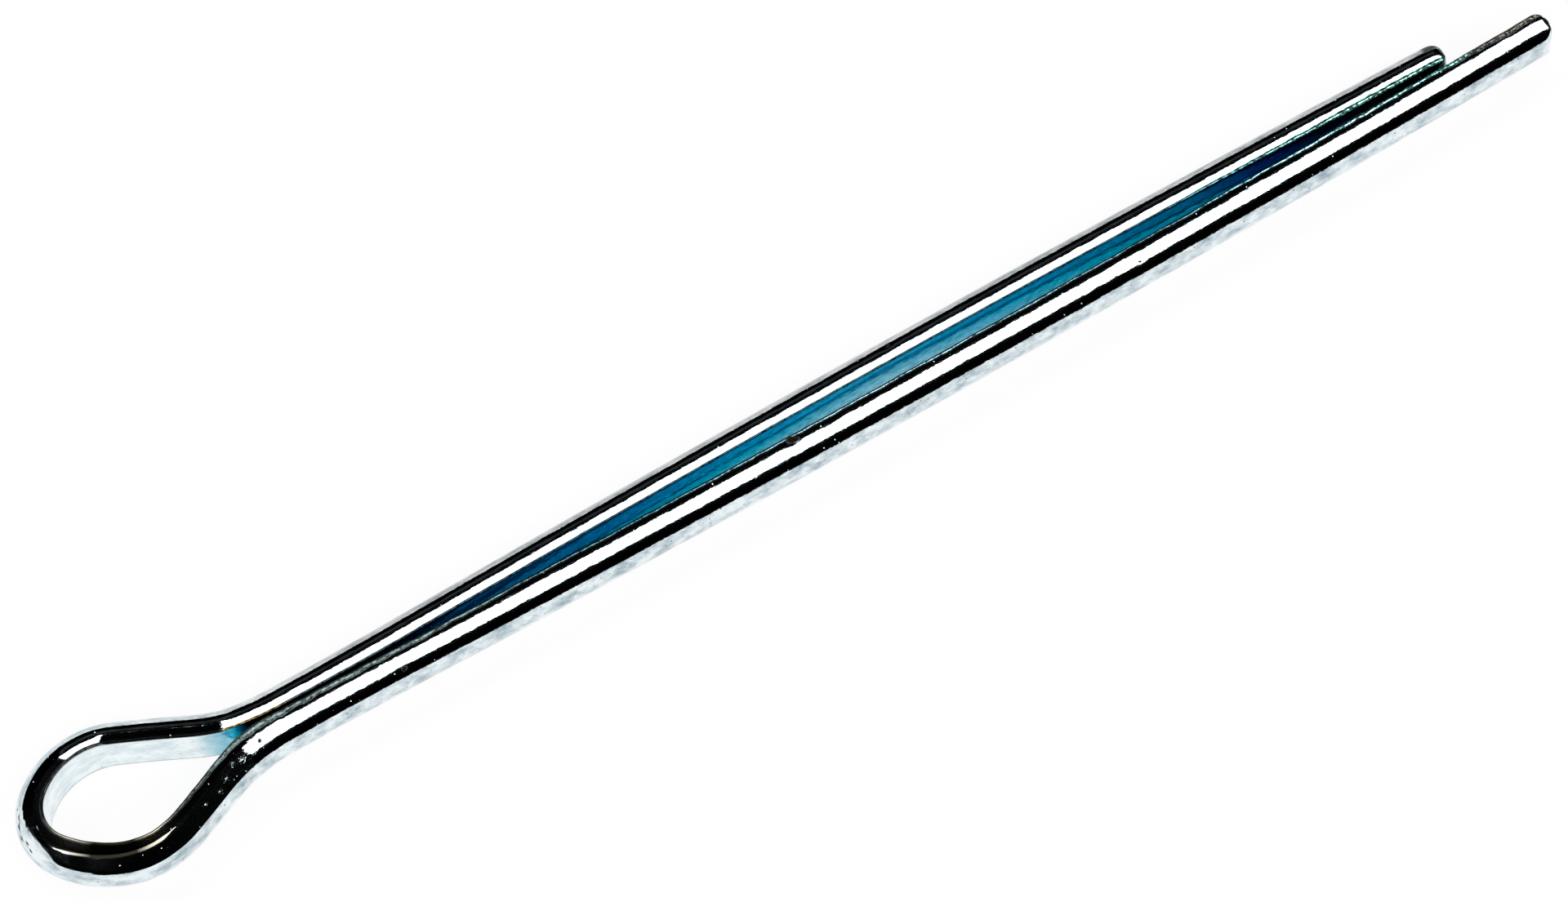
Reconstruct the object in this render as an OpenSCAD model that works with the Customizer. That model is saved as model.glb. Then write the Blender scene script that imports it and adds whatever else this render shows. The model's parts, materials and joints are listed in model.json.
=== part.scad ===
// Split cotter pin bent from one length of half-round steel wire.
// X runs along the shank towards the tips, Y across the two legs, Z up.
// The origin is on the shank's axis, where the eye's last bend ends and the two
// legs begin to run parallel. The pin lies flat, with the eye in the XY plane.
// The wire's path is the line along the middle of its flat face.

/* [Wire] */
// Diameter of the closed shank, which is two half-round wires side by side
shank_d = 3.7; // [3.5:0.05:3.9]
// Break on the two long edges of the wire, between its flat and its round face
edge_break = 0.12; // [0.06:0.01:0.2]

/* [Eye] */
// Radius of the flat face round the outer end of the eye
end_r = 2.1; // [1.8:0.1:2.4]
// Distance of the end bend's centre from the shank's axis, towards the short leg
end_offset = 0.8; // [0.6:0.1:1]
// Turn of the end bend, before the short leg's side of the eye takes over
short_end_turn = 46; // [40:1:50]
// Radius of the flat face along the short leg's side of the eye
short_side_r = 4.3; // [4:0.1:4.8]
// Turn of the end bend, before the long leg's side of the eye takes over
long_end_turn = 29; // [25:1:35]
// Radius of the flat face along the long leg's side of the eye
long_side_r = 5.1; // [4.8:0.1:5.6]
// Slope of the eye's flanks to the shank's axis, half way along each
flank_slope = 24.5; // [23:0.5:26]
// Turn of each flank, which is nearly straight
flank_turn = 3; // [2:0.5:5]
// Radius of the flat face at the neck, where each flank bends into its leg
neck_r = 12.5; // [11:0.1:13]

/* [Legs] */
// Gap between the two flat faces beside the eye, where the legs nearly touch
neck_gap = 0.06; // [0.04:0.01:0.07]
// Length over which the two legs run parallel after the neck
parallel_length = 2; // [2:0.5:4]
// Slope at which each leg leaves the parallel stretch
splay_slope = 1.4; // [1.35:0.05:1.5]
// Radius at which each leg begins to splay
splay_r = 30; // [20:5:60]
// Radius of the short leg's slow bow back towards the axis
short_bow_r = 1700; // [1650:10:1900]
// Radius of the long leg's slow bow back towards the axis
long_bow_r = 1490; // [1470:10:1700]
// Distance from the origin to the short leg's tip
short_length = 76.9; // [60:0.1:79]
// Distance from the origin to the long leg's tip
long_length = 83.1; // [80:0.1:84]

/* [Tips] */
// Rounding of each tip's outer corner, seen from above
tip_outer_r = 1.3; // [0.8:0.1:1.5]
// Rounding of each tip's corner at the flat face, seen from above
tip_inner_r = 0.4; // [0.2:0.05:0.5]

/* [Hidden] */

wire_r = shank_d / 2;
// Facets round the wire and steps along each bend, in the preview mesh
round_steps = 64;
bend_steps = 12;
// A tip's roundings meet its faces at a slight angle, by this share of their radius
tip_bite = 0.06;

// The wire's slope where it starts round the eye, and at both ends of a flank
start_slope = 90;
high_slope = flank_slope - flank_turn / 2;
low_slope = flank_slope + flank_turn / 2;

// Radius of a flank that joins its side of the eye to the neck's bend
function flank_r(side_r, end_turn, offset) =
    let (
        top = offset + end_r * sin(end_turn) + side_r * (cos(high_slope) - sin(end_turn)),
        bottom = neck_gap / 2 + neck_r * (1 - cos(low_slope))
    )
    round(1000 * (top - bottom) / (cos(high_slope) - cos(low_slope))) / 1000;

// The wire's path is a list of stretches. Each is a radius and a turn, which is
// positive towards the round face and negative towards the flat one. A straight
// stretch is its length and no turn. These run from the eye's outer end to the neck.
function eye_path(side_r, end_turn, offset) = [
    [end_r, -end_turn],
    [side_r, end_turn - start_slope - high_slope],
    [flank_r(side_r, end_turn, offset), -flank_turn],
    [neck_r, low_slope]
];

// The bow of a leg that starts with the splay and covers the given distance along X
function bow(bow_r, run) =
    [bow_r, -round(10000 * (splay_slope + asin(run / bow_r - sin(splay_slope)))) / 10000];

// Where a stretch ends, when it starts at the given place of [x, y, slope]
function end_of(place, stretch) =
    let (r = sign(stretch[1]) * stretch[0], slope = place[2] + stretch[1])
    r == 0
        ? place + [stretch[0] * cos(slope), stretch[0] * sin(slope), 0]
        : [
            place.x + r * (sin(slope) - sin(place[2])),
            place.y - r * (cos(slope) - cos(place[2])),
            slope
        ];

// The places between the stretches of a path, with its two ends
function places(start, path, i = 0) =
    i == len(path)
        ? [start]
        : concat([start], places(end_of(start, path[i]), path, i + 1));
function last(list) = list[len(list) - 1];

short_eye = eye_path(short_side_r, short_end_turn, end_offset);
long_eye = eye_path(long_side_r, long_end_turn, -end_offset);
// Distance from the flat face at the eye's outer end to the end of the neck
eye_reach = last(places([0, end_offset, start_slope], short_eye)).x;

// Half-round section: the flat face lies along x = 0, and the round face is at x > 0
module section() {
    intersection() {
        circle(r = wire_r, $fn = round_steps);
        polygon([
            [0, edge_break - wire_r],
            [edge_break, -wire_r],
            [shank_d, -wire_r],
            [shank_d, wire_r],
            [edge_break, wire_r],
            [0, wire_r - edge_break]
        ]);
    }
}

// A shift in two steps, so that pieces placed end to end meet exactly
module put(x, y) {
    near = [round(100 * x) / 100, round(100 * y) / 100];
    translate(near)
        translate([x, y] - near)
            children();
}

// The wire along one stretch, from the given place
module wire(place, stretch) {
    r = stretch[0];
    turn = stretch[1];
    slope = place[2];
    to_round = turn > 0;
    if (turn == 0)
        put(place.x, place.y)
            rotate([90, 0, 90])
                linear_extrude(r)
                    section();
    else
        put(place.x - sign(turn) * r * sin(slope), place.y + sign(turn) * r * cos(slope))
            rotate_extrude(
                start = to_round ? slope + 270 : slope + 90 + turn,
                angle = abs(turn),
                $fn = bend_steps * ceil(360 / abs(turn))
            )
                translate([r, 0])
                    mirror([to_round ? 1 : 0, 0])
                        section();
}

// What the rounding of a tip's corner leaves out, with the corner at the origin and
// the leg at x < 0 and y < 0
module corner_waste(corner_r) {
    bite = tip_bite * corner_r;
    translate([bite - corner_r, bite - corner_r, -shank_d])
        linear_extrude(2 * shank_d)
            difference() {
                square(2 * corner_r);
                circle(r = corner_r, $fn = round_steps);
            }
}

// The last stretch of a leg, with its tip's corners rounded
module tip(place, stretch) {
    end = end_of(place, stretch);
    difference() {
        wire(place, stretch);
        put(end.x, end.y)
            rotate([0, 0, end[2]]) {
                translate([0, wire_r])
                    corner_waste(tip_outer_r);
                mirror([0, 1])
                    corner_waste(tip_inner_r);
            }
    }
}

// Half of the pin, from the eye's outer end to a tip
module half(eye, offset, bow_r, leg_length) {
    path = concat(eye, [[parallel_length, 0], [splay_r, splay_slope]]);
    stops = places([-eye_reach, offset, start_slope], path);
    for (i = [0 : len(path) - 1])
        wire(stops[i], path[i]);
    tip(last(stops), bow(bow_r, leg_length - last(stops).x));
}

module cotter_pin() {
    color([0.74, 0.78, 0.81]) {
        half(short_eye, end_offset, short_bow_r, short_length);
        mirror([0, 1, 0])
            half(long_eye, -end_offset, long_bow_r, long_length);
    }
}

cotter_pin();
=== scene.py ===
# %% [markdown]
# # A split cotter pin in Blender
# A cotter pin is one length of half-round wire, bent back on itself so that its
# flat faces lie together. The bend stands open as an eye, and the two legs pass
# through a hole and are spread behind it. Here the packed pin gives the size and
# place of everything, and the bright zinc, the rounded edges and the marks of
# making are added around it. The scene is in metres, with X along the shank
# towards the tips, Y across the two legs and Z up.

# %% Load the packed pin
import json
import math

import bmesh
import bpy
import numpy as np
from mathutils import Matrix, Vector, noise


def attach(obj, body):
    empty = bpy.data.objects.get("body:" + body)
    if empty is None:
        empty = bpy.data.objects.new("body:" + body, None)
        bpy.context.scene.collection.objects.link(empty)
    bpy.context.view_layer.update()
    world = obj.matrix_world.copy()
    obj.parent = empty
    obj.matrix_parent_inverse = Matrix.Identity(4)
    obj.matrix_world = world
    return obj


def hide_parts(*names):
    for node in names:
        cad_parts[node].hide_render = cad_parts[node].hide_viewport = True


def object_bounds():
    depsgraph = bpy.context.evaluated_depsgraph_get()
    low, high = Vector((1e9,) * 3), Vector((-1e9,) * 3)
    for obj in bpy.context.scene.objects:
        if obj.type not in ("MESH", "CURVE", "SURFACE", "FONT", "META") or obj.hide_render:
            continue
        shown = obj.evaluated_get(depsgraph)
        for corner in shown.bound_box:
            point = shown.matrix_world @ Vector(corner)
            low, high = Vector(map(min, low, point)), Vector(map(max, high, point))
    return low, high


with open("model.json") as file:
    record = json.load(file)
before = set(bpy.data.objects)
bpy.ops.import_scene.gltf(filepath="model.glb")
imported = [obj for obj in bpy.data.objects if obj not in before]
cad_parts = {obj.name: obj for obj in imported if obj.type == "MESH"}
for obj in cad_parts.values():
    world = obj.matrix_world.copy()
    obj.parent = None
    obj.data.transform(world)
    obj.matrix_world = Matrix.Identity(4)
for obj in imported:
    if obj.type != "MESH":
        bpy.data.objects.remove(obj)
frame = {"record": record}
cad_low, cad_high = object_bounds()
MM = 0.001
print("CAD box in mm:", [round(v / MM, 2) for v in (*cad_low, *cad_high)])

# %% [markdown]
# ## Where the camera stands
# The pin is slender, so it is seen from well above with a long lens, with the
# shank rising from lower left to upper right. A camera could be aimed with a
# Track To constraint, but that can't roll it. Giving its three axes directly
# does, and keeps the numbers plain: right, up and back, all in the pin's axes.

# %% Camera
LENS_MM, SENSOR_MM = 300.0, 36.0
VIEW_WIDTH = 89.78 * MM
NEAREST_SEEN, FARTHEST_SEEN = 0.01, 50.0
camera_right = Vector((0.8700, -0.4838, -0.0952)).normalized()
camera_back = Vector((-0.1061, -0.3722, 0.9221)).normalized()
camera_up = camera_back.cross(camera_right).normalized()
camera_right = camera_up.cross(camera_back)
looked_at = Vector((32.30 * MM, -0.456 * MM, 0.0))

camera_data = bpy.data.cameras.new("camera")
camera_data.lens = LENS_MM
camera_data.sensor_width = SENSOR_MM
camera_data.clip_start, camera_data.clip_end = NEAREST_SEEN, FARTHEST_SEEN
camera = bpy.data.objects.new("camera", camera_data)
camera_away = VIEW_WIDTH * LENS_MM / SENSOR_MM
axes = Matrix((camera_right, camera_up, camera_back)).transposed().to_4x4()
camera.matrix_world = Matrix.Translation(looked_at + camera_away * camera_back) @ axes
bpy.context.scene.collection.objects.link(camera)
bpy.context.scene.camera = camera
print("camera distance in mm:", round(camera_away / MM, 1))

# %% [markdown]
# ## The stretches of the wire's line
# A pin like this is bent on a former, so its wire runs in arcs and straights that
# join smoothly. A Bezier curve could be drawn by eye, but arcs keep the bends as
# true as the former makes them. Each stretch is a radius and a turn, measured
# along the middle of the wire's flat face, and a turn of zero is a straight. The
# two halves start together at the eye's outer end, and only their last stretch is
# given by where it has to end.

# %% Stretches from the eye's end to a tip
shank = next(m for m in frame["record"]["mounts"] if m["name"] == "shank")
NECK_GAP = 0.06 * MM
WIRE_R = shank["dims"]["r_mm"] * MM - NECK_GAP / 2
EYE_REACH = -cad_low.x - WIRE_R
END_R, END_OFFSET = 2.1 * MM, 0.8 * MM
SHORT_SIDE_R, SHORT_END_TURN = 4.3 * MM, 46
LONG_SIDE_R, LONG_END_TURN = 5.1 * MM, 29
HIGH_SLOPE, LOW_SLOPE = 23.0, 26.0
NECK_R, PARALLEL = 12.5 * MM, 2.0 * MM
SPLAY_R, SPLAY_SLOPE = 30.0 * MM, 1.4
SHORT_BOW_R, LONG_BOW_R = 1700 * MM, 1490 * MM
SHORT_LEG, LONG_LEG = 76.9 * MM, 83.1 * MM


def cos_of(degrees):
    return math.cos(math.radians(degrees))


def sin_of(degrees):
    return math.sin(math.radians(degrees))


def half_line(side_r, end_turn, offset, bow_r, reach):
    """Stretches of (radius, turn in degrees), the last one as (radius, reach in X)."""
    top = offset + END_R * sin_of(end_turn) + side_r * (cos_of(HIGH_SLOPE) - sin_of(end_turn))
    bottom = NECK_GAP / 2 + NECK_R * (1 - cos_of(LOW_SLOPE))
    flank_r = (top - bottom) / (cos_of(HIGH_SLOPE) - cos_of(LOW_SLOPE))
    return [
        (END_R, -end_turn),
        (side_r, end_turn - 90 - HIGH_SLOPE),
        (flank_r, HIGH_SLOPE - LOW_SLOPE),
        (NECK_R, LOW_SLOPE),
        (PARALLEL, 0),
        (SPLAY_R, SPLAY_SLOPE),
        (bow_r, reach),
    ]


short_reach, long_reach = EYE_REACH + SHORT_LEG, EYE_REACH + LONG_LEG
short_half = half_line(SHORT_SIDE_R, SHORT_END_TURN, END_OFFSET, SHORT_BOW_R, short_reach)
long_half = half_line(LONG_SIDE_R, LONG_END_TURN, -END_OFFSET, LONG_BOW_R, long_reach)
print("wire radius in mm:", round(WIRE_R / MM, 3), "eye's reach:", round(EYE_REACH / MM, 3))

# %% [markdown]
# ## Walking along the stretches
# The walk keeps a place, a slope and the length run so far, and leaves a point
# every quarter of a millimetre, and closer round the eye, where the wire bends
# most. Both halves are walked as if they bent the same way, and the long one is
# then mirrored across the shank's axis.

# %% Points along both halves
EYE_STEP, LEG_STEP = 0.14 * MM, 0.25 * MM
EYE_STRETCHES = 4
FEWEST_STEPS = 2
QUARTER_TURN = math.pi / 2


def follow(stretches, offset):
    """Points of a half's line: x, y, slope and the length run, from the eye's end."""
    x, y, slope, run = 0.0, offset, QUARTER_TURN, 0.0
    walked = [(x, y, slope, run)]
    for number, (radius, turn) in enumerate(stretches):
        if number == len(stretches) - 1:
            end_sine = (turn - x) / radius - math.sin(slope)
            turn = -math.degrees(slope + math.asin(end_sine))
        length = radius if turn == 0 else abs(math.radians(turn)) * radius
        step = EYE_STEP if number < EYE_STRETCHES else LEG_STEP
        count = max(FEWEST_STEPS, round(length / step))
        start_x, start_y, start_slope = x, y, slope
        signed = math.copysign(radius, turn)
        for i in range(1, count + 1):
            part = i / count
            if turn == 0:
                x = start_x + part * radius * math.cos(start_slope)
                y = start_y + part * radius * math.sin(start_slope)
            else:
                slope = start_slope + part * math.radians(turn)
                x = start_x + signed * (math.sin(slope) - math.sin(start_slope))
                y = start_y - signed * (math.cos(slope) - math.cos(start_slope))
            walked.append((x, y, slope, run + part * length))
        run += length
    return np.array(walked)


short_line = follow(short_half, END_OFFSET)
long_line = follow(long_half, -END_OFFSET)
for line in (short_line, long_line):
    line[:, 0] -= EYE_REACH
long_line[:, 1:3] *= -1
for name, line in (("short", short_line), ("long", long_line)):
    print(name, "leg ends at", (line[-1, :2] / MM).round(2), "mm after", round(line[-1, 3] / MM, 1))

# %% [markdown]
# ## Rings across the wire
# A bevelled curve could carry the half-round section round the bends, but it
# would turn the section as it liked. Rings placed by the maker stay square to the
# wire and keep their numbers, so that wear and marks can be laid on them later.
# One sweep runs from the short tip, round the eye and out to the long tip,
# because it is one wire. A place along it is counted in millimetres from the
# eye's end, upwards to the short tip and downwards, below zero, to the long one.
#
# Both tips were cropped and tumbled, which wore a little off their ends. Seen
# from above, their corners are quarters of an ellipse, of a length along the wire
# and a width across it, and the rings there keep the limits of that outline.

# %% Rings
SHORT_TIP = {"outer": (1.30 * MM, 1.05 * MM), "inner": (0.35 * MM, 0.40 * MM), "worn": 0.15 * MM}
LONG_TIP = {"outer": (1.60 * MM, 0.80 * MM), "inner": (0.84 * MM, 0.98 * MM), "worn": 0.22 * MM}
TIP_RINGS = 20


def gone(rounding, depth):
    """How much of the width a rounding has taken, at a depth into it."""
    length, width = rounding
    share = min(1.0, max(0.0, depth) / length)
    return width * (1 - math.sqrt(1 - share**2))


def leg_rings(line, corners):
    """Rings from the eye's end to a tip: x, y, slope, run, least and most out."""
    total = line[-1, 3] - corners["worn"]
    reach = corners["outer"][0]
    runs = [run for run in line[:, 3] if run < total - reach]
    turns = np.linspace(0, QUARTER_TURN, TIP_RINGS)
    runs += [total - reach * (1 - math.sin(a)) for a in turns]
    placed = []
    for run in runs:
        x, y, slope = (np.interp(run, line[:, 3], line[:, i]) for i in range(3))
        most = WIRE_R - gone(corners["outer"], run - total + reach)
        least = gone(corners["inner"], run - total + corners["inner"][0])
        placed.append((x, y, slope, run, least, most))
    return np.array(placed)


short_rings = leg_rings(short_line, SHORT_TIP)
long_rings = leg_rings(long_line, LONG_TIP)
rings = np.vstack((short_rings[::-1], long_rings[1:]))
sides = np.concatenate((np.ones(len(short_rings)), -np.ones(len(long_rings) - 1)))
along = rings[:, 3] * sides / MM
outward = np.column_stack((-np.sin(rings[:, 2]), np.cos(rings[:, 2]))) * sides[:, None]
print("rings:", len(rings), "along the wire in mm:", along[0].round(1), "to", along[-1].round(1))

# %% [markdown]
# ## Bends that came out a little off
# No former bends wire exactly to its drawing: it springs back here and is
# squeezed there. So the line is moved by up to an eighth of a millimetre, towards
# the round face or away from it, at listed places. Read straight, such a
# table leaves a kink at each row, which bright metal would show, so an average
# over a short stretch to each side eases it.

# %% Nudges
EASE_REACH, EASE_SAMPLES = 0.7, 15
# Place along the wire and move towards the round face, in mm
NUDGES = (
    (-24, 0), (-20, 0.05), (-18, 0.08), (-15.5, 0.06), (-14, 0), (-12.5, -0.02), (-11, -0.08),
    (-9, -0.12), (-7.5, -0.12), (-6.3, -0.06), (-5, -0.08), (-3.5, -0.08), (-2.5, -0.03), (-0.5, 0),
    (6, 0), (7.5, -0.04), (9, -0.07), (10.5, -0.11), (13.2, -0.12), (14.2, -0.05), (15.3, 0.03),
    (17, 0.07), (20, 0.06), (24, 0),
)


def eased_table(table):
    """A table's value at every ring, with its kinks eased."""
    shifts = np.linspace(-EASE_REACH, EASE_REACH, EASE_SAMPLES)
    return np.mean([np.interp(along + shift, *zip(*table)) for shift in shifts], axis=0)


nudges = eased_table(NUDGES)
rings[:, :2] += MM * nudges[:, None] * outward
print("nudges in mm:", nudges.min().round(3), "to", nudges.max().round(3))

# %% [markdown]
# ## The wire's long edges
# Rolled half-round wire has a flat face and a round one, and its two long edges
# come off the rolls rounded, but not evenly: plating builds up on them and
# handling nicks them. So the radius of each edge wanders along the wire. The
# wander comes from Blender's noise, which needs no seed: it gives the same value
# at the same place in every run. From here on a place on the wire is three
# lengths: along it, out from the flat face, and up.

# %% Edge radii along the wire
# Place along the wire and radius there, in mm
EDGE_R = (
    (-95, 0.30), (-93, 0.25), (-80, 0.20), (-32, 0.20), (-22, 0.32), (-13, 0.32), (-8, 0.18),
    (3, 0.12), (14, 0.055), (74, 0.055), (84, 0.20),
)
# Length of a wander in mm, and its share of the radius
EDGE_WANDER = ((2.6, 0.16), (0.8, 0.20), (0.45, 0.12))
TOP_ROW, LOW_ROW = 0.5, 9.5


def edge_radii(row):
    """The radius of one long edge at every ring, from its own row of the noise."""
    base = MM * np.interp(along, *zip(*EDGE_R))
    wander = [
        sum(share * noise.noise(Vector((spot / size, row, 0.0))) for size, share in EDGE_WANDER)
        for spot in along
    ]
    return base * (1 + np.array(wander))


top_edge, low_edge = edge_radii(TOP_ROW), edge_radii(LOW_ROW)
print("edge radii in mm:", (top_edge.min() / MM).round(3), "to", (top_edge.max() / MM).round(3))

# %% [markdown]
# ## Where the former pressed the eye
# The jaws that bend the eye also flatten it a little. Along its near side and
# round its end they leave two flats that meet in a low ridge, and along its far
# side one flat on top. Between them, at the shoulder, the wire keeps its round.
# Cutting the flats with booleans would leave hard corners, so each is worked out
# as a smooth minimum: the lower of two surfaces, with their corner eased over a
# set width. That width changes along the wire. The ridge is crisp along the near
# flank and round the end, and soft between them, where the jaws slid over it.
#
# Directions on the section are in degrees, from the middle of the round face
# up to the top.

# %% Flats and the ridge between them
NEAR_PRESS, FAR_PRESS = (-14.2, 4.3), (6.0, 13.6)
# The near flats, at places along the wire: the direction where they start on the
# round face, and the directions that the side flat and the top flat face
PRESS_AT = (-14, -8, -5, -1, 1, 4)
PRESS_FOOT = (30, 31, 35, 37, 52, 52)
SIDE_ANGLE = (46, 46.5, 44, 45.5, 57, 57)
TOP_ANGLE, TOP_DISTANCE = (85, 85, 88, 88, 91, 91), 1.838 * MM
# The far flat: its height over the wire's middle, its slope and its eased corner
FAR_HEIGHT, FAR_SLOPE, FAR_EASE = 1.7116 * MM, 0.07, 0.005 * MM
# How wide the ridge's corner is eased, in mm, at places along the wire
RIDGE_AT = (-14, -7.6, -6.9, -6.1, -5.4, -2.6, -2.1, -1.0, -0.5, 0.4)
RIDGE_EASE = (0.004, 0.006, 0.140, 0.140, 0.150, 0.150, 0.180, 0.190, 0.015, 0.002)


def angle_at(degrees):
    """An angle given at the pressed places, in radians for every ring."""
    return np.radians(np.interp(along, PRESS_AT, degrees))[:, None]


foot_angle, side_angle, top_angle = map(angle_at, (PRESS_FOOT, SIDE_ANGLE, TOP_ANGLE))
side_distance = WIRE_R * np.cos(side_angle - foot_angle)
ridge_ease = MM * np.interp(along, RIDGE_AT, RIDGE_EASE)[:, None]
crossing = np.arctan2(
    TOP_DISTANCE * np.cos(side_angle) - side_distance * np.cos(top_angle),
    side_distance * np.sin(top_angle) - TOP_DISTANCE * np.sin(side_angle),
)
tilt = math.atan(FAR_SLOPE)
far_crossing = math.asin(FAR_HEIGHT / WIRE_R * math.cos(tilt)) + tilt
shoulder = (NEAR_PRESS[1] + FAR_PRESS[0]) / 2
ridge_angle = np.where(along[:, None] < shoulder, crossing, far_crossing)
print("ridge at", *np.degrees((ridge_angle.min(), ridge_angle.max())).round(1), "degrees")

# %% [markdown]
# ## The half-round section
# The upper half of the section is the flat from its middle up, the rounded edge
# and the round face down to its crown. The lower half is the same, turned over.
# Points stand closest where the eye's pressed ridge will come, and on the edges,
# because a mirror-bright face shows a change of slope far sooner than a change of
# place.

# %% Section
FLAT_POINTS, EDGE_POINTS = 9, 7
ROUND_ANGLES = np.radians(
    (89, 86, 83, 80, 77.2, 74.6, 72.6, 71.2, 70, 68.9, 67.7, 66.3, 64.6, 62.5, 60, 57, 54, 51)
    + (48.5, 46, 43, 39.5, 36.5, 35, 33, 31, 30, 27.5, 23, 17, 11, 5)
)
# Which of the round face's points lies on the ridge
RIDGE_POINT = 8


def upper_half(edge_r):
    """Out, up and the direction of the edge's end, for each ring and point of a half."""
    edge_r = edge_r[:, None]
    lift = np.sqrt((WIRE_R - edge_r) ** 2 - edge_r**2)
    meet = np.arctan2(lift, edge_r)
    ridge = ROUND_ANGLES[RIDGE_POINT]
    above = ridge_angle + (meet - ridge_angle) * (ROUND_ANGLES - ridge) / (QUARTER_TURN - ridge)
    below = ROUND_ANGLES * ridge_angle / ridge
    angles = np.where(ROUND_ANGLES > ridge, above, below)
    flat_up = lift * np.arange(FLAT_POINTS) / FLAT_POINTS
    turn = math.pi + (meet - math.pi) * np.arange(EDGE_POINTS + 1) / EDGE_POINTS
    half_out = (0 * flat_up, edge_r * (1 + np.cos(turn)), WIRE_R * np.cos(angles))
    half_up = (flat_up, lift + edge_r * np.sin(turn), WIRE_R * np.sin(angles))
    return np.hstack(half_out), np.hstack(half_up), meet


top_out, top_up, top_meet = upper_half(top_edge)
low_out, low_up, low_meet = upper_half(low_edge)
half_count = top_out.shape[1]
print("points round the wire:", 2 * half_count)

# %% [markdown]
# ## Pressing the section
# Each ring gets its flats from the smooth minimum. A flat fades in over half a
# millimetre where a jaw ended. The near flats are pressed only half as deep at
# the very end of the eye, where one jaw gave way to the other.

# %% Pressed section
PRESS_RAMP = 0.45
# Where the press was lightest and how wide that place is, in mm, and what it lacks
LIGHT_AT, LIGHT_REACH, LIGHT_SHARE = -0.7, 0.9, 0.5


def pressed_share(span):
    """How fully each ring is pressed, from 0 to 1."""
    rise = np.clip((along - span[0]) / PRESS_RAMP, 0, 1)
    fall = np.clip((span[1] - along) / PRESS_RAMP, 0, 1)
    share = np.minimum(rise, fall)
    return (share * share * (3 - 2 * share))[:, None]


def eased_lower(first, second, ease):
    """The lower of two heights, with the corner between them eased."""
    share = np.clip(0.5 + 0.5 * (second - first) / ease, 0, 1)
    return second + (first - second) * share - ease * share * (1 - share)


def pressed(half_out, half_up, meet):
    """A half of the section after the jaws."""
    angle = np.arctan2(half_up, half_out)
    held = np.minimum(angle, meet)
    side = side_distance / np.cos(held - side_angle)
    top = TOP_DISTANCE / np.cos(held - top_angle)
    radius = np.where(held > foot_angle, eased_lower(side, top, ridge_ease), WIRE_R)
    scale = 1 + near_share * (radius / WIRE_R - 1)
    half_out, half_up = half_out * scale, half_up * scale
    flat_top = eased_lower(half_up, FAR_HEIGHT + FAR_SLOPE * half_out, FAR_EASE)
    return half_out, half_up + far_share * (flat_top - half_up)


near_share, far_share = pressed_share(NEAR_PRESS), pressed_share(FAR_PRESS)
near_share *= 1 - LIGHT_SHARE * np.exp(-(((along - LIGHT_AT) / LIGHT_REACH) ** 2))[:, None]
top_out, top_up = pressed(top_out, top_up, top_meet)
low_out, low_up = pressed(low_out, low_up, low_meet)
print("greatest height in mm:", (top_up.max() / MM).round(3))

# %% [markdown]
# ## Cropped tips and flats that stand proud
# The two halves of the section are joined into closed rings. At each tip a ring
# is squeezed between the limits kept above, and remembers how much the shears
# took, which darkens it later. Its height is drawn in over the last bit, and its
# lower side leans back, so that the cropped end is rounded all the way round.
#
# Wire that is squeezed one way swells another. So the flat face stands a little
# proud where the jaws pressed it, most at the near side of the neck, and by less
# than a tenth of a millimetre along the far leg.

# %% Tips and proud flats
# Place along the wire and height of the flat face over its line, in mm
FLAT_PROUD = (
    (-24, 0), (-20, 0.06), (-18, 0.09), (-17, 0.13), (-16.3, 0.19), (-15.2, 0.29), (-14.3, 0.22),
    (-12.8, 0.12), (-11.8, 0.02), (-6.6, 0), (-5.5, 0.07), (-4.6, 0.07), (-3.7, 0.14),
    (-2.2, 0.15), (-1.2, 0.06), (-0.5, 0), (16, 0), (18, 0.03), (22, 0.08), (34, 0.07),
    (86, 0.07), (91, 0),
)
# The share of its height that the wire keeps, to lie just inside the packed pin's
HEIGHT_KEPT = 0.999
TIP_CROWN = (0.9 * MM, 0.35 * MM)
TIP_LEAN, LEAN_FROM = 0.60 * MM, 0.3
CROP_BLEND, BITE_BLEND = 0.15 * MM, 0.06 * MM
# How far out the outer corner's dark bite starts, and its soft border, in mm
BITE_FROM, BITE_RAMP = 0.9, 0.3

crown = np.full((len(rings), 1), WIRE_R)
whole_out = np.hstack((top_out, crown, low_out[:, :0:-1]))
up = HEIGHT_KEPT * np.hstack((top_up, 0 * crown, -low_up[:, :0:-1]))
out = np.clip(whole_out, rings[:, 4, None], rings[:, 5, None])
taken = np.where(sides[:, None] > 0, np.abs(out - whole_out), out - whole_out)
cropped = np.clip(taken / CROP_BLEND, 0, 1)
bitten = np.clip((WIRE_R - rings[:, 5]) / BITE_BLEND, 0, 1) * (sides > 0)
bitten = bitten[:, None] * np.clip((out / MM - BITE_FROM) / BITE_RAMP, 0, 1)
cropped = np.maximum(cropped, bitten)

proud = MM * eased_table(FLAT_PROUD)[:, None]
out = out - proud * (1 - out / WIRE_R)
back = np.zeros_like(out)
for leg_end, side in ((short_rings[-1, 3], 1), (long_rings[-1, 3], -1)):
    for r in np.flatnonzero(sides == side):
        depth = rings[r, 3] - leg_end + TIP_CROWN[0]
        up[r] *= 1 - gone(TIP_CROWN, depth) / WIRE_R
        lean = TIP_LEAN * max(0.0, depth / TIP_CROWN[0]) ** 2
        back[r] = lean * np.clip((LEAN_FROM - up[r] / WIRE_R) / (1 + LEAN_FROM), 0, 1)
print("flat face stands proud by up to, in mm:", (proud.max() / MM).round(3))

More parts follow.
